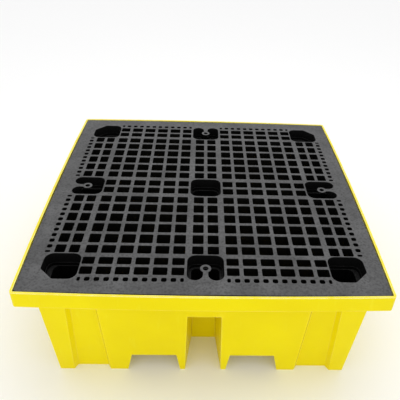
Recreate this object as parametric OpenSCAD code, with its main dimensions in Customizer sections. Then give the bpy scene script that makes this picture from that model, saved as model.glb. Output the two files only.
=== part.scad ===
// Spill containment pallet: a moulded sump tub with forklift pockets on all four
// sides, a lift-out drum deck and the nine hollow pillars that hold the deck up.
// Origin: centre of the footprint, on the floor. +Z up, front face towards -Y.

/* [Overall] */
// Width over the bulging sides, the same front to back
overall_w = 1224; // [1216:1:1232]
// Height from the floor to the top of the rim
height = 470; // [460:1:490]

/* [Tub] */
// Wall thickness of the moulded tub
wall = 8; // [7:0.5:8.5]
// Width of the tub at the floor
floor_w = 1056; // [1050:1:1060]
// Width of the tub just under the rim band
neck_w = 1099; // [1092:1:1104]
// How far each side of the rim bulges outwards at its middle
rim_bow = 10; // [0:1:12]
// Depth of the rim band down the outside
rim_depth = 60; // [58:1:64]

/* [Fork pockets] */
// Distance from the centre line to the near side of a pocket, at the floor
pocket_near = 85; // [83:1:90]
// Distance from the centre line to the far side of a pocket, at the floor
pocket_far = 278; // [250:1:280]
// Height of a pocket
pocket_h = 88; // [80:1:100]
// How far the near side leans in from floor to roof
pocket_near_lean = 13; // [8:1:16]
// How far the far side leans in from floor to roof
pocket_far_lean = 19; // [10:1:22]

/* [Side recesses] */
// Half the width of the deep recess in the middle of each side, at the floor
recess_half = 67; // [64:1:68]
// How far the recess goes in, at the floor
recess_depth = 151; // [140:1:155]
// Height of the recess
recess_h = 306; // [296:1:310]

/* [Corner panels] */
// Where a shallow panel starts, from the centre line, at the floor
panel_near = 343; // [335:1:350]
// Where a shallow panel ends, from the centre line, at the floor
panel_far = 477; // [470:1:480]
// How far a panel is set back from the wall
panel_depth = 19; // [12:1:20]
// Height of a panel
panel_h = 396; // [380:1:397]

/* [Deck] */
// Distance between the bars of the deck, centre to centre
cell_pitch = 61; // [59:0.5:61]
// Width of a bar
bar_w = 14; // [13:0.5:16]
// Thickness of the deck's top plate
plate_t = 5; // [4:0.5:7]
// Depth of the deck from its top to the bottom of its ribs
deck_h = 50.5; // [48:0.5:51]
// Radius of the four tie-down holes
tie_hole_r = 9; // [7:0.5:10]

/* [Pillars] */
// Wall thickness of a pillar
pillar_wall = 5; // [4:0.5:6]
// Radius of the drain hole in a pillar's floor
drain_r = 12; // [8:1:15]

/* [Hidden] */
$fn = 48;

// Small overlap that keeps cuts clean
eps = 1;

// Rim
rim_z = height - rim_depth;
ledge_z = rim_z + wall;
rim_half = overall_w / 2 - rim_bow;
rim_corner_r = 12;
bow_steps = 16;
arc_steps = 8;

// Tub walls: lean of the outer face per millimetre of height
floor_half = floor_w / 2;
wall_lean = (neck_w - floor_w) / 2 / rim_z;

// Side recess: how it narrows going in and going up
recess_splay = 0.13;
recess_side_lean = 0.036;
recess_back_lean = 0.033;

// Corner panel: how its sides slope going in and going up
panel_splay = 0.6;
panel_side_lean = 0.075;

// The narrow feet beside a side recess are solid up to this height
solid_foot_h = 50;

// Deck
deck_gap = 0.3;
deck_z = ledge_z + deck_gap;
deck_top = deck_z + deck_h;
plate_z = deck_top - plate_t;
deck_side_gap = 2;
deck_half = rim_half - wall - deck_side_gap;
deck_bow = max(rim_bow - 3, 0);
deck_corner_r = 10;
// Each bar stands on a rib that is this much narrower on either side
rib_step = 5;

// Deck cells, as distances from the centre lines
block = [70, 409];
first_bar = 118;
bars = 6;
band_cells = [[430, 464], [477, 512]];
band = [424, 518];
strip_cells = [[7.5, 46]];
strip = [2.5, 52];
row_cells = [[525.5, 542.5]];
row = [522, 546];
small_pitch = cell_pitch / 2;
small_size = 17;
small_count = 12;
first_small = 72.5;
// Blind pockets under the solid edge of the deck
edge_pocket = [[550, 585]];

// Wells over the pillars
well_r = 29;
corner_well = [414, 535];
corner_chamfer = 46;
chamfer_r = 12;
side_well_half = 61;
side_well_in = 415;
side_well_out = 534;
lobe_r = 26;
tab_neck_half = 9;
tab_r = 19;
tab_centre = 479;

// Pillars
head_t = 4;
head_rim = 5;
spigot_h = 12;
spigot_gap = 1;
spigot_wall = 3;
foot_gap = 8;
foot_arch_w = 30;
pillar_floor_t = 5;
corner_shaft_top = [416, 519];
corner_shaft_foot = [426, 498];
centre_shaft_top = 57;
centre_shaft_foot = 44;
head_z = ledge_z - head_t;
side_shaft_inset = 8;
// Corner radius and cut-off corner of a shaft, as parts of its width
shaft_round = 0.24;
shaft_cut = 0.38;

function both_sides(list) = concat(list, [for (c = list) [-c[1], -c[0]]]);

// Intervals made wider by g at both ends, but kept inside a zone
function grown(list, g, zone) =
    [for (c = list) [max(c[0] - g, zone[0]), min(c[1] + g, zone[1])]];

function boxes(across, along) =
    [for (x = across, y = along) [[x[0], y[0]], [x[1], y[0]], [x[1], y[1]], [x[0], y[1]]]];

function both_ways(a, b) = concat(boxes(a, b), boxes(b, a));

function turned(points, angle) =
    [for (p = points) [p[0] * cos(angle) - p[1] * sin(angle),
                       p[0] * sin(angle) + p[1] * cos(angle)]];

// A square whose sides bulge outwards by bow, with rounded corners
function bowed_square(half, bow, r) = [
    for (side = [0:3]) each turned(concat(
        [for (i = [0:bow_steps - 1])
            let (t = 2 * i / bow_steps - 1) [(half - r) * t, -half - bow * (1 - t * t)]],
        [for (i = [0:arc_steps - 1])
            let (a = -90 + 90 * i / arc_steps) [half - r + r * cos(a), -half + r + r * sin(a)]]
    ), 90 * side)
];

// An outline with each corner turned into an arc of its own radius
function rounded(points, radii) = [
    for (i = [0:len(points) - 1])
        let (n = len(points),
             p = points[i],
             back = points[(i + n - 1) % n] - p,
             ahead = points[(i + 1) % n] - p,
             u = back / norm(back),
             v = ahead / norm(ahead),
             half_angle = acos(u * v) / 2,
             centre = p + (u + v) / norm(u + v) * radii[i] / sin(half_angle),
             from = p + u * radii[i] / tan(half_angle) - centre,
             to = p + v * radii[i] / tan(half_angle) - centre,
             sweep = 180 - 2 * half_angle)
        for (k = [0:arc_steps])
            let (t = k / arc_steps)
            centre + (from * sin((1 - t) * sweep) + to * sin(t * sweep)) / sin(sweep)
];

main_cells = [
    for (k = [0:bars - 1])
        [max(first_bar + (k - 1) * cell_pitch + bar_w / 2, block[0]),
         min(first_bar + k * cell_pitch - bar_w / 2, block[1])]
];
small_cells = [
    for (k = [0:small_count - 1])
        let (c = first_small + k * small_pitch)
        [max(c - small_size / 2, block[0]), min(c + small_size / 2, block[1])]
];

// Every opening of the deck, each made wider by g, with the blind pockets if asked for
function deck_openings(g, pockets) =
    let (main = both_sides(grown(main_cells, g, block)),
         outer = both_sides(grown(band_cells, g, band)),
         middle = both_sides(grown(strip_cells, g, strip)),
         small = both_sides(grown(small_cells, g, block)),
         edge_row = both_sides(grown(row_cells, g, row)))
    concat(
        boxes(main, main),
        both_ways(main, outer),
        both_ways(main, middle),
        both_ways(small, edge_row),
        pockets ? both_ways(concat(main, [[-block[0] + rib_step, block[0] - rib_step]]),
                            both_sides(edge_pocket)) : []
    );

// A block between two level four-sided outlines
module wedge(low, high, z0, z1) {
    polyhedron(
        points = concat([for (p = low) [p[0], p[1], z0]], [for (p = high) [p[0], p[1], z1]]),
        faces = [[0, 1, 2, 3], [4, 5, 1, 0], [7, 6, 5, 4], [5, 6, 2, 1], [6, 7, 3, 2], [7, 4, 0, 3]]
    );
}

// Repeats a shape on all four sides, or at all four corners
module four_times() {
    for (side = [0:3]) rotate([0, 0, 90 * side]) children();
}

// A square block whose four walls lean outwards
module leaning_block(low_half, high_half, z0, z1) {
    profile = [[-low_half, z0], [low_half, z0], [high_half, z1], [-high_half, z1]];
    intersection() {
        rotate([90, 0, 0]) linear_extrude(3 * high_half, center = true) polygon(profile);
        rotate([90, 0, 90]) linear_extrude(3 * high_half, center = true) polygon(profile);
    }
}

// The two pockets that run from front to back; grow is the thickness of the skin over them
module pockets_front_to_back(grow) {
    near_top = pocket_near + pocket_near_lean - grow;
    far_top = pocket_far - pocket_far_lean + grow;
    for (side = [0, 1]) mirror([side, 0, 0])
        rotate([90, 0, 0]) linear_extrude(overall_w + 20, center = true)
            polygon([
                [pocket_near - grow, -eps], [near_top, pocket_h + grow],
                [far_top, pocket_h + grow], [pocket_far + grow, -eps]
            ]);
}

// Outline of the side recess at height z, drawn at the front
function recess_outline(z, grow) =
    let (front = floor_half + wall_lean * z + 12,
         back = floor_half - recess_depth + recess_back_lean * z - grow,
         x_front = recess_half + recess_splay * (front - floor_half) - recess_side_lean * z + grow,
         x_back = recess_half + recess_splay * (back - floor_half) - recess_side_lean * z + grow)
    [[-x_front, -front], [x_front, -front], [x_back, -back], [-x_back, -back]];

module side_recess(grow) {
    top = recess_h + grow;
    wedge(recess_outline(-eps, grow), recess_outline(top, grow), -eps, top);
}

// Outline of the right-hand corner panel at height z, drawn at the front
function panel_outline(z, grow) =
    let (lean = wall_lean * z,
         front = floor_half + lean + 6,
         back = floor_half + lean - panel_depth - grow,
         shift_front = panel_splay * (floor_half - front) + panel_side_lean * z,
         shift_back = panel_splay * (floor_half - back) + panel_side_lean * z)
    [[panel_near + shift_front - grow, -front], [panel_far - shift_front + grow, -front],
     [panel_far - shift_back + grow, -back], [panel_near + shift_back - grow, -back]];

module corner_panels(grow) {
    top = panel_h + grow;
    for (side = [0, 1]) mirror([side, 0, 0])
        wedge(panel_outline(-eps, grow), panel_outline(top, grow), -eps, top);
}

// Everything that is pushed into the tub from below and from outside
module tub_hollows(grow) {
    pockets_front_to_back(grow);
    rotate([0, 0, 90]) pockets_front_to_back(grow);
    four_times() {
        side_recess(grow);
        corner_panels(grow);
    }
}

// Solid plastic in the narrow feet beside each side recess
module narrow_feet() {
    four_times() for (side = [0, 1]) mirror([side, 0, 0])
        translate([recess_half - 30, -neck_w / 2, 0])
            cube([pocket_near - recess_half + 40, recess_depth + 30, solid_foot_h]);
}

module sump_tub() color("#ecd900") {
    difference() {
        union() {
            leaning_block(floor_half, neck_w / 2, 0, rim_z);
            translate([0, 0, rim_z]) linear_extrude(rim_depth)
                polygon(bowed_square(rim_half, rim_bow, rim_corner_r));
        }
        tub_hollows(0);
        translate([0, 0, ledge_z]) linear_extrude(rim_depth)
            polygon(bowed_square(rim_half - wall, rim_bow, rim_corner_r - wall));
        difference() {
            leaning_block(floor_half + wall_lean * wall - wall,
                          floor_half + wall_lean * (ledge_z + eps) - wall, wall, ledge_z + eps);
            tub_hollows(wall);
            narrow_feet();
        }
    }
}

// Outline of a corner well, in the back right corner; e makes it larger
module corner_well_shape(e) {
    lo = corner_well[0] - e;
    hi = corner_well[1] + e;
    cut = corner_chamfer + e * (2 - sqrt(2));
    polygon(rounded(
        [[lo, lo], [hi, lo], [hi, hi - cut], [hi - cut, hi], [lo, hi]],
        [well_r + e, well_r + e, chamfer_r + e, chamfer_r + e, well_r + e]
    ));
}

module centre_well_shape(e) {
    h = side_well_half + e;
    r = well_r + e;
    polygon(rounded([[-h, -h], [h, -h], [h, h], [-h, h]], [r, r, r, r]));
}

// Outline of the well at the front side, whose outer end has two round lobes
module side_well_shape(e) {
    r = well_r + e;
    h = side_well_half + e;
    lobe_y = side_well_out - lobe_r;
    translate([-h + r, -lobe_y]) square([2 * (h - r), lobe_y - side_well_in + e]);
    translate([-h, -lobe_y]) square([2 * h, lobe_y - side_well_in + e - r]);
    for (s = [-1, 1]) {
        translate([s * (h - r), -side_well_in + e - r]) circle(r);
        translate([s * (side_well_half - lobe_r), -lobe_y]) circle(lobe_r + e);
    }
}

// Tongue with a hole that reaches into each side well from the edge of the deck
module tie_tab_shape() {
    translate([0, -tab_centre]) circle(tab_r);
    translate([-tab_neck_half, -side_well_out - eps])
        square([2 * tab_neck_half, side_well_out + eps - tab_centre]);
}

// One level of the deck, with its cells and wells; the children are cut out too
module deck_sheet(openings) {
    difference() {
        polygon(bowed_square(deck_half, deck_bow, deck_corner_r));
        for (outline = openings) polygon(outline);
        centre_well_shape(0);
        four_times() corner_well_shape(0);
        children();
    }
}

module deck_grid() color("#3c3d3f") {
    translate([0, 0, plate_z]) linear_extrude(plate_t) deck_sheet(deck_openings(0, false))
        four_times() {
            difference() {
                side_well_shape(0);
                tie_tab_shape();
            }
            translate([0, -tab_centre]) circle(tie_hole_r);
        }
    // Thin ribs under the bars, and collars around the wells
    translate([0, 0, deck_z]) linear_extrude(deck_h - plate_t)
        deck_sheet(deck_openings(rib_step, true)) four_times() side_well_shape(0);
}

// Ring that lies under the deck around a well, with a spigot that stands up inside the well
module pillar_head(kind) {
    translate([0, 0, head_z]) linear_extrude(head_t) well_shape(kind, head_rim);
    translate([0, 0, head_z]) linear_extrude(head_t + spigot_h) difference() {
        well_shape(kind, -spigot_gap);
        well_shape(kind, -spigot_gap - spigot_wall);
    }
}

module well_shape(kind, e) {
    if (kind == "corner") corner_well_shape(e);
    if (kind == "centre") centre_well_shape(e);
    if (kind == "side") side_well_shape(e);
}

// Extent of a leaning shaft at height z, the same along X and Y
function shaft_range(kind, z, inset) =
    let (t = (z - wall) / (ledge_z - wall),
         foot = kind == "corner" ? corner_shaft_foot : [-centre_shaft_foot, centre_shaft_foot],
         top = kind == "corner" ? corner_shaft_top : [-centre_shaft_top, centre_shaft_top],
         at_z = foot + (top - foot) * t)
    [at_z[0] + inset, at_z[1] - inset];

module shaft_shape(kind, range) {
    lo = range[0];
    hi = range[1];
    w = hi - lo;
    r = shaft_round * w;
    cut = shaft_cut * w;
    if (kind == "corner")
        polygon(rounded([[lo, lo], [hi, lo], [hi, hi - cut], [hi - cut, hi], [lo, hi]],
                        [r, r, r / 2, r / 2, r]));
    else
        polygon(rounded([[lo, lo], [hi, lo], [hi, hi], [lo, hi]], [r, r, r, r]));
}

// A solid shaft that widens towards its top
module leaning_shaft(kind, z0, z1, inset) {
    low = shaft_range(kind, z0, inset);
    high = shaft_range(kind, z1, inset);
    growth = (high[1] - high[0]) / (low[1] - low[0]);
    fixed = (high[0] - growth * low[0]) / (1 - growth);
    translate([fixed, fixed, z0]) linear_extrude(z1 - z0, scale = growth)
        translate([-fixed, -fixed]) shaft_shape(kind, low);
}

// Arches at the foot and a hole in the floor let the inside of a pillar drain
module drains(centre, foot_z) {
    reach = 2 * side_well_half;
    translate([centre[0], centre[1], foot_z]) {
        translate([-reach / 2, -foot_arch_w / 2, -eps]) cube([reach, foot_arch_w, foot_gap + eps]);
        translate([-foot_arch_w / 2, -reach / 2, -eps]) cube([foot_arch_w, reach, foot_gap + eps]);
        cylinder(r = drain_r, h = foot_gap + pillar_floor_t + eps);
    }
}

module tall_pillar(kind) color("#2b2c2e") {
    foot = shaft_range(kind, wall, 0);
    middle = (foot[0] + foot[1]) / 2;
    difference() {
        union() {
            leaning_shaft(kind, wall, head_z, 0);
            pillar_head(kind);
        }
        leaning_shaft(kind, wall + foot_gap + pillar_floor_t, ledge_z + eps, pillar_wall);
        drains([middle, middle], wall);
    }
}

module side_pillar() color("#2b2c2e") {
    foot_z = recess_h + wall;
    middle = (side_well_in + side_well_out) / 2;
    difference() {
        union() {
            translate([0, 0, foot_z]) linear_extrude(head_z - foot_z)
                side_well_shape(-side_shaft_inset);
            pillar_head("side");
        }
        translate([0, 0, foot_z + foot_gap + pillar_floor_t]) linear_extrude(ledge_z - foot_z)
            side_well_shape(-side_shaft_inset - pillar_wall);
        drains([0, -middle], foot_z);
    }
}

module pillar_back_right() tall_pillar("corner");
module pillar_back_left() rotate([0, 0, 90]) tall_pillar("corner");
module pillar_front_left() rotate([0, 0, 180]) tall_pillar("corner");
module pillar_front_right() rotate([0, 0, 270]) tall_pillar("corner");
module pillar_front() side_pillar();
module pillar_right() rotate([0, 0, 90]) side_pillar();
module pillar_back() rotate([0, 0, 180]) side_pillar();
module pillar_left() rotate([0, 0, 270]) side_pillar();
module pillar_centre() tall_pillar("centre");

sump_tub();
deck_grid();
pillar_front_left();
pillar_front_right();
pillar_back_left();
pillar_back_right();
pillar_front();
pillar_back();
pillar_left();
pillar_right();
pillar_centre();
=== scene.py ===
"""Spill containment pallet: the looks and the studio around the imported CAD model."""

import math

import bmesh
import bpy
from mathutils import Matrix, Vector


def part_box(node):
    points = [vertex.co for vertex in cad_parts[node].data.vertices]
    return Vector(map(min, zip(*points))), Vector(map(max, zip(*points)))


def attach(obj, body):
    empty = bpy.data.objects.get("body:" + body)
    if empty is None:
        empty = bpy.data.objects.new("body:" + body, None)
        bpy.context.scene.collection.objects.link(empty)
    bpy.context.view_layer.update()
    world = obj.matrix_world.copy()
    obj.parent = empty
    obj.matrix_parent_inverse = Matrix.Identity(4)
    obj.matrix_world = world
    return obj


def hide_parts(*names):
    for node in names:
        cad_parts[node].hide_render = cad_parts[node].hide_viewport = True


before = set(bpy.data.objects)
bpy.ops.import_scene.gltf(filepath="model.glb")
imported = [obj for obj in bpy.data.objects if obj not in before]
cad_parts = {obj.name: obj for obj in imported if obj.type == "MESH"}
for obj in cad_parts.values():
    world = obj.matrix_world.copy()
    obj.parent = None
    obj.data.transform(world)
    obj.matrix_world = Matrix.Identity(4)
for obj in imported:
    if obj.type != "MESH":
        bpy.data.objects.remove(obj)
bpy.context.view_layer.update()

MM = 0.001

# Tub: base colours, and the pale (wear, and painted highlight on the rim), scuffed and dirty
# colours laid over them
YELLOW_DEEP, YELLOW_CLEAR = (0.825, 0.675, 0.0001), (0.868, 0.728, 0.0002)
YELLOW_WORN_AND_HIGHLIGHT, YELLOW_RUBBED, GRIME = (0.98, 0.97, 0.60), (0.90, 0.84, 0.05), (0.35, 0.27, 0.02)
YELLOW_SHEEN = (1.0, 0.93, 0.06)
# Heights in metres between which the wear and painted highlight on the tub's edges grow to those
# of the rim
RIM_WEAR_AND_HIGHLIGHT_FROM, RIM_WEAR_AND_HIGHLIGHT_FULL = 0.440, 0.462
# How far in from an edge the wear and painted highlight reach, in metres
WEAR_AND_HIGHLIGHT_REACH = 0.007

# Black pieces: greys of the marks that drums leave on upward faces
SCRATCH_GREY, SPECK_GREY = (0.16, 0.16, 0.16), (0.14, 0.14, 0.14)
SCRATCH_STRETCHES = ((9.0, 240.0, 9.0), (210.0, 7.0, 9.0))
WALL_GLOSS = 0.08

# Widest rounding of the CAD nodes' sharp edges; their shortest edges hold it to less
TUB_ROUNDING, TUB_SEGMENTS = 2.5 * MM, 3
PILLAR_ROUNDING, PILLAR_SEGMENTS = 0.8 * MM, 2
SHARP_FROM, FLAT_UNTIL, JOIN_WITHIN = math.radians(30.0), math.radians(0.4), 0.02 * MM

# Studio
FLOOR_SIZE, FLOOR_GREY, FLOOR_ROUGHNESS = 30.0, 0.93, 0.9
# name, place, target, diameter in metres, power in watts
LIGHTS = (
    ("overhead", (0.3, 0.4, 3.6), (0, 0, 0.4), 2.6, 22),
    ("front", (-0.5, -4.2, 1.3), (0, 0, 0.2), 3.0, 9),
)

# Camera: place across and along the pallet, height over the deck, angles in degrees, lens in mm
CAMERA_X, CAMERA_Y, CAMERA_OVER_DECK = -0.0247, -1.6680, 1.1137
CAMERA_YAW, CAMERA_PITCH, CAMERA_ROLL = 2.56, 35.08, 2.56
CAMERA_LENS, CAMERA_SENSOR = 44.06, 36
CAMERA_SHIFT = (-0.0433, -0.001)
CAMERA_CLIP_END = 100


# ---------------------------------------------------------------- node helpers


class Nodes:
    """Short calls for building one material's node tree."""

    def __init__(self, name):
        self.material = bpy.data.materials.new(name)
        self.material.use_nodes = True
        self.tree = self.material.node_tree
        self.shader = self.tree.nodes["Principled BSDF"]
        self.position = self.tree.nodes.new("ShaderNodeTexCoord").outputs["Object"]

    def link(self, source, target):
        self.tree.links.new(source, target)

    def noise(self, scale, detail=4.0, roughness=0.5, vector=None):
        node = self.tree.nodes.new("ShaderNodeTexNoise")
        node.inputs["Scale"].default_value = scale
        node.inputs["Detail"].default_value = detail
        node.inputs["Roughness"].default_value = roughness
        self.link(vector or self.position, node.inputs["Vector"])
        return node.outputs["Fac"]

    def ramp(self, value, from_range, to_range):
        node = self.tree.nodes.new("ShaderNodeMapRange")
        node.inputs["From Min"].default_value = from_range[0]
        node.inputs["From Max"].default_value = from_range[1]
        node.inputs["To Min"].default_value = to_range[0]
        node.inputs["To Max"].default_value = to_range[1]
        self.link(value, node.inputs["Value"])
        return node.outputs["Result"]

    def math(self, operation, a, b):
        node = self.tree.nodes.new("ShaderNodeMath")
        node.operation = operation
        for socket, value in zip(node.inputs, (a, b)):
            if isinstance(value, (int, float)):
                socket.default_value = value
            else:
                self.link(value, socket)
        return node.outputs["Value"]

    def mix(self, fac, a, b):
        node = self.tree.nodes.new("ShaderNodeMix")
        node.data_type = "RGBA"
        self.link(fac, node.inputs["Factor"])
        # inputs 6 and 7 and output 2 are the colour sockets of this node
        for socket, value in zip((node.inputs[6], node.inputs[7]), (a, b)):
            if isinstance(value, tuple):
                socket.default_value = (*value, 1.0)
            else:
                self.link(value, socket)
        return node.outputs[2]

    def height(self):
        node = self.tree.nodes.new("ShaderNodeSeparateXYZ")
        self.link(self.position, node.inputs["Vector"])
        return node.outputs["Z"]

    def stretched(self, scales):
        node = self.tree.nodes.new("ShaderNodeVectorMath")
        node.operation = "MULTIPLY"
        self.link(self.position, node.inputs[0])
        node.inputs[1].default_value = scales
        return node.outputs["Vector"]

    def normal_z(self):
        geometry = self.tree.nodes.new("ShaderNodeNewGeometry")
        node = self.tree.nodes.new("ShaderNodeSeparateXYZ")
        self.link(geometry.outputs["Normal"], node.inputs["Vector"])
        return node.outputs["Z"]

    def edges(self, reach):
        """0 on flat faces, up to 1 near edges, from how far a wide bevel turns the normal."""
        bevel = self.tree.nodes.new("ShaderNodeBevel")
        bevel.samples = 4
        bevel.inputs["Radius"].default_value = reach
        geometry = self.tree.nodes.new("ShaderNodeNewGeometry")
        node = self.tree.nodes.new("ShaderNodeVectorMath")
        node.operation = "DOT_PRODUCT"
        self.link(bevel.outputs["Normal"], node.inputs[0])
        self.link(geometry.outputs["True Normal"], node.inputs[1])
        return self.ramp(node.outputs["Value"], (0.97, 0.72), (0.0, 1.0))

    def bump(self, height, strength, distance):
        node = self.tree.nodes.new("ShaderNodeBump")
        node.inputs["Strength"].default_value = strength
        node.inputs["Distance"].default_value = distance
        self.link(height, node.inputs["Height"])
        self.link(node.outputs["Normal"], self.shader.inputs["Normal"])


def moulded_yellow():
    """Rotationally moulded polyethylene: satin, a little cloudy, with an orange-peel surface."""
    n = Nodes("tub_yellow")
    cloud = n.noise(3.5, 3.0, 0.55)
    colour = n.mix(n.ramp(cloud, (0.35, 0.65), (0.0, 1.0)), YELLOW_DEEP, YELLOW_CLEAR)
    # pale, scuffed plastic along the edges that get knocked, with a painted highlight on the
    # rim's lip, most of all on the rim
    patchy = n.ramp(n.noise(14.0, 5.0, 0.7), (0.38, 0.60), (0.2, 0.75))
    on_rim = n.ramp(n.height(), (RIM_WEAR_AND_HIGHLIGHT_FROM, RIM_WEAR_AND_HIGHLIGHT_FULL), (0.35, 1.6))
    wear_and_highlight = n.math("MULTIPLY", n.edges(WEAR_AND_HIGHLIGHT_REACH), n.math("MULTIPLY", patchy, on_rim))
    colour = n.mix(n.math("MINIMUM", wear_and_highlight, 0.9), colour, YELLOW_WORN_AND_HIGHLIGHT)
    # faint rub marks that run down the sides
    rubs = n.noise(1.0, 4.0, 0.65, vector=n.stretched((26.0, 26.0, 5.0)))
    colour = n.mix(n.ramp(rubs, (0.60, 0.78), (0.0, 0.35)), colour, YELLOW_RUBBED)
    grime = n.ramp(n.noise(30.0, 6.0, 0.7), (0.62, 0.80), (0.0, 0.10))
    colour = n.mix(grime, colour, GRIME)
    n.link(colour, n.shader.inputs["Base Color"])
    rough = n.ramp(n.noise(45.0, 5.0, 0.6), (0.3, 0.7), (0.34, 0.50))
    n.link(rough, n.shader.inputs["Roughness"])
    peel = n.math("ADD", n.noise(330.0, 3.0), n.math("MULTIPLY", n.noise(60.0, 2.0), 0.8))
    n.bump(peel, 0.22, 0.0004)
    n.shader.inputs["Specular IOR Level"].default_value = 0.25
    n.shader.inputs["Specular Tint"].default_value = (*YELLOW_SHEEN, 1.0)
    return n.material


def moulded_black(name, shaded_sides, lit_top, lit_top_worn, rough_range, gloss):
    """Injection-moulded black polyethylene: deep black walls darkened as painted shade, and
    upward faces a lighter grey as painted light, scuffed and scratched.
    """
    n = Nodes(name)
    mottle = n.ramp(n.noise(9.0, 6.0, 0.65), (0.35, 0.68), (0.0, 1.0))
    upward = n.mix(mottle, lit_top, lit_top_worn)
    # short scratches left by sliding drums, along two directions
    for stretch in SCRATCH_STRETCHES:
        line = n.noise(1.0, 3.0, 0.6, vector=n.stretched(stretch))
        upward = n.mix(n.ramp(line, (0.66, 0.76), (0.0, 0.45)), upward, SCRATCH_GREY)
    speck = n.ramp(n.noise(420.0, 2.0, 0.6), (0.60, 0.75), (0.0, 0.5))
    upward = n.mix(speck, upward, SPECK_GREY)
    grain = n.ramp(n.noise(120.0, 3.0, 0.6), (0.46, 0.66), (0.0, 0.65))
    upward = n.mix(grain, upward, shaded_sides)
    # painted light and shade: faces turned upwards get the lighter, lit colours, and walls the
    # darker, shaded one
    facing_up = n.ramp(n.normal_z(), (0.55, 0.95), (0.0, 1.0))
    shine = n.ramp(facing_up, (0.0, 1.0), (WALL_GLOSS, gloss))
    n.link(shine, n.shader.inputs["Specular IOR Level"])
    colour = n.mix(facing_up, shaded_sides, upward)
    n.link(colour, n.shader.inputs["Base Color"])
    rough = n.ramp(n.noise(70.0, 4.0, 0.6), (0.3, 0.7), rough_range)
    n.link(rough, n.shader.inputs["Roughness"])
    n.bump(n.math("ADD", n.noise(700.0, 3.0, 0.7), n.noise(160.0, 2.0, 0.5)), 0.30, 0.0003)
    return n.material


# ---------------------------------------------------------------- CAD pieces


def soften(piece, width, segments):
    """Rounds the sharp edges of a CAD node without touching its mesh.

    Neighbouring faces of its mesh don't share corners, so the corners are joined first.
    No rounding is wider than the node's shortest sharp edges leave room for.
    """
    weld = piece.modifiers.new("join_corners", "WELD")
    weld.merge_threshold = JOIN_WITHIN
    flat = piece.modifiers.new("merge_flat_faces", "DECIMATE")
    flat.decimate_type = "DISSOLVE"
    flat.angle_limit = FLAT_UNTIL
    bevel = piece.modifiers.new("round_edges", "BEVEL")
    bevel.width = width
    bevel.segments = segments
    bevel.limit_method = "ANGLE"
    bevel.angle_limit = SHARP_FROM
    bevel.harden_normals = False
    bevel.use_clamp_overlap = True
    smooth = piece.modifiers.new("even_normals", "WEIGHTED_NORMAL")
    smooth.keep_sharp = False
    for polygon in piece.data.polygons:
        polygon.use_smooth = True


def paint(piece, material):
    piece.data.materials.clear()
    piece.data.materials.append(material)


# ---------------------------------------------------------------- deck

# The deck's dimensions in millimetres, the same as the solid part's
DECK_TOP, DECK_BOTTOM, PLATE_T = 468.8, 418.3, 5.0
DECK_HALF, DECK_BOW, DECK_CORNER_R = 592.0, 7.0, 10.0
PITCH, BAR_W, FIRST_BAR, BARS = 61.0, 14.0, 118.0, 6
SMALL_SIZE, FIRST_SMALL, SMALL_COUNT = 17.0, 72.5, 12
# Each quarter's block of cells, from its inner side to its outer side
BLOCK = (70.0, 409.0)
RIB_STEP = 5.0
# Cells outside the blocks, and the zone that each set of openings may grow to under the plate
BAND_CELLS, BAND = [(430.0, 464.0), (477.0, 512.0)], (424.0, 518.0)
STRIP_CELLS, STRIP = [(7.5, 46.0)], (2.5, 52.0)
ROW_CELLS, ROW = [(525.5, 542.5)], (522.0, 546.0)
EDGE_POCKET = [(550.0, 585.0)]
WELL_R, WELL_HALF, WELL_IN, WELL_OUT = 29.0, 61.0, 415.0, 534.0
CORNER_WELL, CORNER_CHAMFER, CHAMFER_R = (414.0, 535.0), 46.0, 12.0
LOBE_R, TAB_NECK, TAB_R, TAB_AT, TIE_HOLE_R = 26.0, 9.0, 19.0, 479.0, 9.0
# Roundings that only the visible deck has
CELL_R, SMALL_R, EDGE_R, RIB_EDGE_R = 4.5, 5.5, 1.5, 0.6
# Steps in which curves are drawn
CORNER_STEPS, SIDE_STEPS, LOBE_STEPS, TAB_STEPS, HOLE_STEPS = 6, 24, 14, 24, 24
# The deck's creases stay sharp above this angle, and its two sheets join where they meet
CREASE_FROM, SHEETS_JOIN_WITHIN = math.radians(50), 1e-6


def arc(centre, r, start, end, steps=8):
    """Points on a circle, from one angle to another in degrees."""
    turn = [math.radians(start + (end - start) * k / steps) for k in range(steps + 1)]
    return [(centre[0] + r * math.cos(a), centre[1] + r * math.sin(a)) for a in turn]


def rounded(points, radii):
    """An outline with each corner turned into an arc of its own radius."""
    out = []
    for i, r in enumerate(radii):
        p = Vector(points[i])
        u = (Vector(points[i - 1]) - p).normalized()
        v = (Vector(points[(i + 1) % len(points)]) - p).normalized()
        half = math.acos(max(-1.0, min(1.0, u.dot(v)))) / 2
        centre = p + (u + v).normalized() * r / math.sin(half)
        start = p + u * r / math.tan(half) - centre
        end = p + v * r / math.tan(half) - centre
        sweep = math.pi - 2 * half
        for k in range(CORNER_STEPS + 1):
            t = k / CORNER_STEPS
            swing = start * math.sin((1 - t) * sweep) + end * math.sin(t * sweep)
            out.append(tuple(centre + swing / math.sin(sweep)))
    return out


def turned(points, quarter):
    for _ in range(quarter):
        points = [(-y, x) for x, y in points]
    return points


def all_round(points):
    """The same outline at all four sides or corners."""
    return [turned(points, quarter) for quarter in range(4)]


def deck_outline():
    """A square whose sides bow outwards, with small round corners."""
    inner = DECK_HALF - DECK_CORNER_R
    side = []
    for k in range(SIDE_STEPS):
        t = 2 * k / SIDE_STEPS - 1
        side.append((inner * t, -DECK_HALF - DECK_BOW * (1 - t * t)))
    side += arc((inner, -inner), DECK_CORNER_R, -90, 0)[:-1]
    return [point for outline in all_round(side) for point in outline]


def corner_well():
    """A rounded square with its outer corner cut off."""
    lo, hi = CORNER_WELL
    cut = CORNER_CHAMFER
    points = [(lo, lo), (hi, lo), (hi, hi - cut), (hi - cut, hi), (lo, hi)]
    return rounded(points, [WELL_R, WELL_R, CHAMFER_R, CHAMFER_R, WELL_R])


def centre_well():
    h = WELL_HALF
    return rounded([(-h, -h), (h, -h), (h, h), (-h, h)], [WELL_R] * 4)


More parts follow.
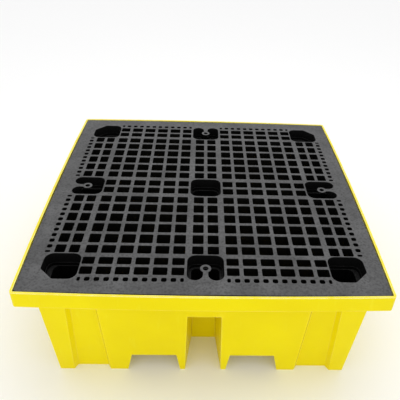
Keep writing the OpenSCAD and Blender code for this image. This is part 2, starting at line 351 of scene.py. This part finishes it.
def side_well(tongue):
    """The front side's well: two lobes outwards, with or without the tongue between them."""
    h, lobe_x, lobe_y = WELL_HALF, WELL_HALF - LOBE_R, -(WELL_OUT - LOBE_R)
    shoulder = -(WELL_IN + WELL_R)
    points = []
    if tongue:
        meet = math.degrees(math.acos(TAB_NECK / TAB_R))
        points += arc((0, -TAB_AT), TAB_R, -meet, 180 + meet, TAB_STEPS)
    points += arc((-lobe_x, lobe_y), LOBE_R, 0, -180, LOBE_STEPS)
    points += arc((-h + WELL_R, shoulder), WELL_R, 180, 90)
    points += arc((h - WELL_R, shoulder), WELL_R, 90, 0)
    points += arc((lobe_x, lobe_y), LOBE_R, 0, -180, LOBE_STEPS)
    return points


def tie_hole():
    last = 360 - 360 / HOLE_STEPS
    return arc((0, -TAB_AT), TIE_HOLE_R, 0, last, HOLE_STEPS - 1)


def both_sides(spans):
    return spans + [(-b, -a) for a, b in spans]


def grown(spans, zone, grow):
    """Spans made wider at each end, but no further than their zone, on both sides."""
    return both_sides([(max(a - grow, zone[0]), min(b + grow, zone[1])) for a, b in spans])


def deck_cells(grow, pockets):
    """Every opening of the grating: x span, y span, corner radius, wider by grow at each end."""
    near, far = BLOCK
    main = []
    for k in range(BARS):
        start = FIRST_BAR + (k - 1) * PITCH + BAR_W / 2
        end = FIRST_BAR + k * PITCH - BAR_W / 2
        main.append((max(start, near), min(end, far)))
    small = []
    for k in range(SMALL_COUNT):
        centre = FIRST_SMALL + k * PITCH / 2
        small.append((max(centre - SMALL_SIZE / 2, near), min(centre + SMALL_SIZE / 2, far)))
    main, small = grown(main, BLOCK, grow), grown(small, BLOCK, grow)
    band, strip = grown(BAND_CELLS, BAND, grow), grown(STRIP_CELLS, STRIP, grow)
    row = grown(ROW_CELLS, ROW, grow)
    groups = [(main, band, CELL_R), (main, strip, CELL_R), (small, row, SMALL_R)]
    if pockets:
        middle = [(-near + RIB_STEP, near - RIB_STEP)]
        groups.append((main + middle, both_sides(EDGE_POCKET), CELL_R))
    cells = [(x, y, CELL_R) for x in main for y in main]
    for across, along, r in groups:
        for a in across:
            for b in along:
                cells += [(a, b, r), (b, a, r)]
    return cells


def cell_outline(x, y, r):
    """A rounded rectangle, with its radius kept under half of its shorter side."""
    r = min(r, 0.45 * (x[1] - x[0]), 0.45 * (y[1] - y[0]))
    return rounded([(x[0], y[0]), (x[1], y[0]), (x[1], y[1]), (x[0], y[1])], [r] * 4)


def sheet(name, outlines, low, high, edge_r):
    """A flat sheet between two heights: the first outline is its edge, the others are holes."""
    curve = bpy.data.curves.new(name, "CURVE")
    curve.dimensions = "2D"
    curve.fill_mode = "BOTH"
    curve.extrude = ((high - low) / 2 - edge_r) * MM
    curve.bevel_depth = edge_r * MM
    curve.bevel_resolution = 2
    curve.offset = -edge_r * MM
    for outline in outlines:
        spline = curve.splines.new("POLY")
        spline.points.add(len(outline) - 1)
        spline.use_cyclic_u = True
        for point, (x, y) in zip(spline.points, outline):
            point.co = (x * MM, y * MM, 0, 1)
    piece = bpy.data.objects.new(name, curve)
    bpy.context.scene.collection.objects.link(piece)
    shown = piece.evaluated_get(bpy.context.evaluated_depsgraph_get())
    mesh = bpy.data.meshes.new_from_object(shown)
    bpy.data.objects.remove(piece)
    bpy.data.curves.remove(curve)
    mesh.transform(Matrix.Translation((0, 0, (low + high) / 2 * MM)))
    return mesh


def visible_deck():
    """The deck with rounded cells and rounded edges, on the ribs underneath."""
    plate_bottom = DECK_TOP - PLATE_T
    wells = all_round(corner_well()) + [centre_well()]
    holes = wells + all_round(side_well(True)) + all_round(tie_hole())
    holes += [cell_outline(*cell) for cell in deck_cells(0, False)]
    plate = sheet("plate", [deck_outline()] + holes, plate_bottom, DECK_TOP, EDGE_R)
    holes = wells + all_round(side_well(False))
    holes += [cell_outline(*cell) for cell in deck_cells(RIB_STEP, True)]
    ribs_top = plate_bottom + EDGE_R
    ribs = sheet("ribs", [deck_outline()] + holes, DECK_BOTTOM, ribs_top, RIB_EDGE_R)
    shape = bmesh.new()
    shape.from_mesh(plate)
    shape.from_mesh(ribs)
    mesh = bpy.data.meshes.new("deck_visible")
    bmesh.ops.remove_doubles(shape, verts=shape.verts, dist=SHEETS_JOIN_WITHIN)
    shape.to_mesh(mesh)
    shape.free()
    for polygon in mesh.polygons:
        polygon.use_smooth = True
    mesh.set_sharp_from_angle(angle=CREASE_FROM)
    piece = bpy.data.objects.new("deck_visible", mesh)
    bpy.context.scene.collection.objects.link(piece)
    smooth = piece.modifiers.new("even_normals", "WEIGHTED_NORMAL")
    smooth.keep_sharp = True
    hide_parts("deck_grid")
    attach(piece, "deck")
    return piece


# ---------------------------------------------------------------- looks

yellow = moulded_yellow()
# deck: walls near-black as painted shade, upward faces lighter grey as painted light from above
deck_black = moulded_black(
    "deck_black",
    shaded_sides=(0.005, 0.005, 0.005),
    lit_top=(0.040, 0.040, 0.041),
    lit_top_worn=(0.085, 0.085, 0.087),
    rough_range=(0.40, 0.58),
    gloss=0.5,
)
# pillars: darker than black plastic as painted shade inside the deep wells, their upward faces
# barely lighter as painted light
pillar_black = moulded_black(
    "pillar_black",
    shaded_sides=(0.002, 0.002, 0.002),
    lit_top=(0.004, 0.004, 0.004),
    lit_top_worn=(0.009, 0.009, 0.009),
    rough_range=(0.5, 0.65),
    gloss=0.2,
)

for name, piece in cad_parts.items():
    if name == "sump_tub":
        paint(piece, yellow)
        soften(piece, TUB_ROUNDING, TUB_SEGMENTS)
    elif name == "deck_grid":
        paint(piece, deck_black)
    else:
        paint(piece, pillar_black)
        soften(piece, PILLAR_ROUNDING, PILLAR_SEGMENTS)

paint(visible_deck(), deck_black)


# ---------------------------------------------------------------- studio


def floor():
    mesh = bpy.data.meshes.new("floor")
    h = FLOOR_SIZE / 2
    mesh.from_pydata([(-h, -h, 0), (h, -h, 0), (h, h, 0), (-h, h, 0)], [], [(0, 1, 2, 3)])
    piece = bpy.data.objects.new("floor", mesh)
    bpy.context.scene.collection.objects.link(piece)
    n = Nodes("floor")
    n.shader.inputs["Base Color"].default_value = (FLOOR_GREY, FLOOR_GREY, FLOOR_GREY, 1)
    n.shader.inputs["Roughness"].default_value = FLOOR_ROUGHNESS
    mesh.materials.append(n.material)


def area_light(name, place, target, size, power):
    data = bpy.data.lights.new(name, "AREA")
    data.shape = "DISK"
    data.size = size
    data.energy = power
    light = bpy.data.objects.new(name, data)
    light.location = place
    aim = Vector(target) - Vector(place)
    light.rotation_euler = aim.to_track_quat("-Z", "Y").to_euler()
    bpy.context.scene.collection.objects.link(light)


def studio():
    """White surroundings, a soft light above, a weak one in front, and a pale floor."""
    world = bpy.data.worlds.new("studio")
    world.use_nodes = True
    background = world.node_tree.nodes["Background"]
    background.inputs["Color"].default_value = (1, 1, 1, 1)
    background.inputs["Strength"].default_value = 1.0
    bpy.context.scene.world = world
    for light in LIGHTS:
        area_light(*light)
    floor()


def camera():
    """A view from above the front edge, looking down at the deck, a little turned and tilted."""
    deck_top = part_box("deck_grid")[1].z
    place = Vector((CAMERA_X, CAMERA_Y, deck_top + CAMERA_OVER_DECK))
    yaw, pitch, roll = (math.radians(a) for a in (CAMERA_YAW, CAMERA_PITCH, CAMERA_ROLL))
    ahead = Vector((math.sin(yaw), math.cos(yaw), 0))
    forward = ahead * math.cos(pitch) - Vector((0, 0, math.sin(pitch)))
    level = Vector((math.cos(yaw), -math.sin(yaw), 0))
    upright = level.cross(forward)
    right = level * math.cos(roll) + upright * math.sin(roll)
    up = upright * math.cos(roll) - level * math.sin(roll)
    data = bpy.data.cameras.new("camera")
    data.sensor_width = CAMERA_SENSOR
    data.lens = CAMERA_LENS
    data.shift_x, data.shift_y = CAMERA_SHIFT
    data.clip_end = CAMERA_CLIP_END
    view = bpy.data.objects.new("camera", data)
    turn = Matrix((right, up, -forward)).transposed()
    view.matrix_world = Matrix.Translation(place) @ turn.to_4x4()
    bpy.context.scene.collection.objects.link(view)
    bpy.context.scene.camera = view


studio()
camera()
bpy.context.scene.view_settings.view_transform = "Standard"
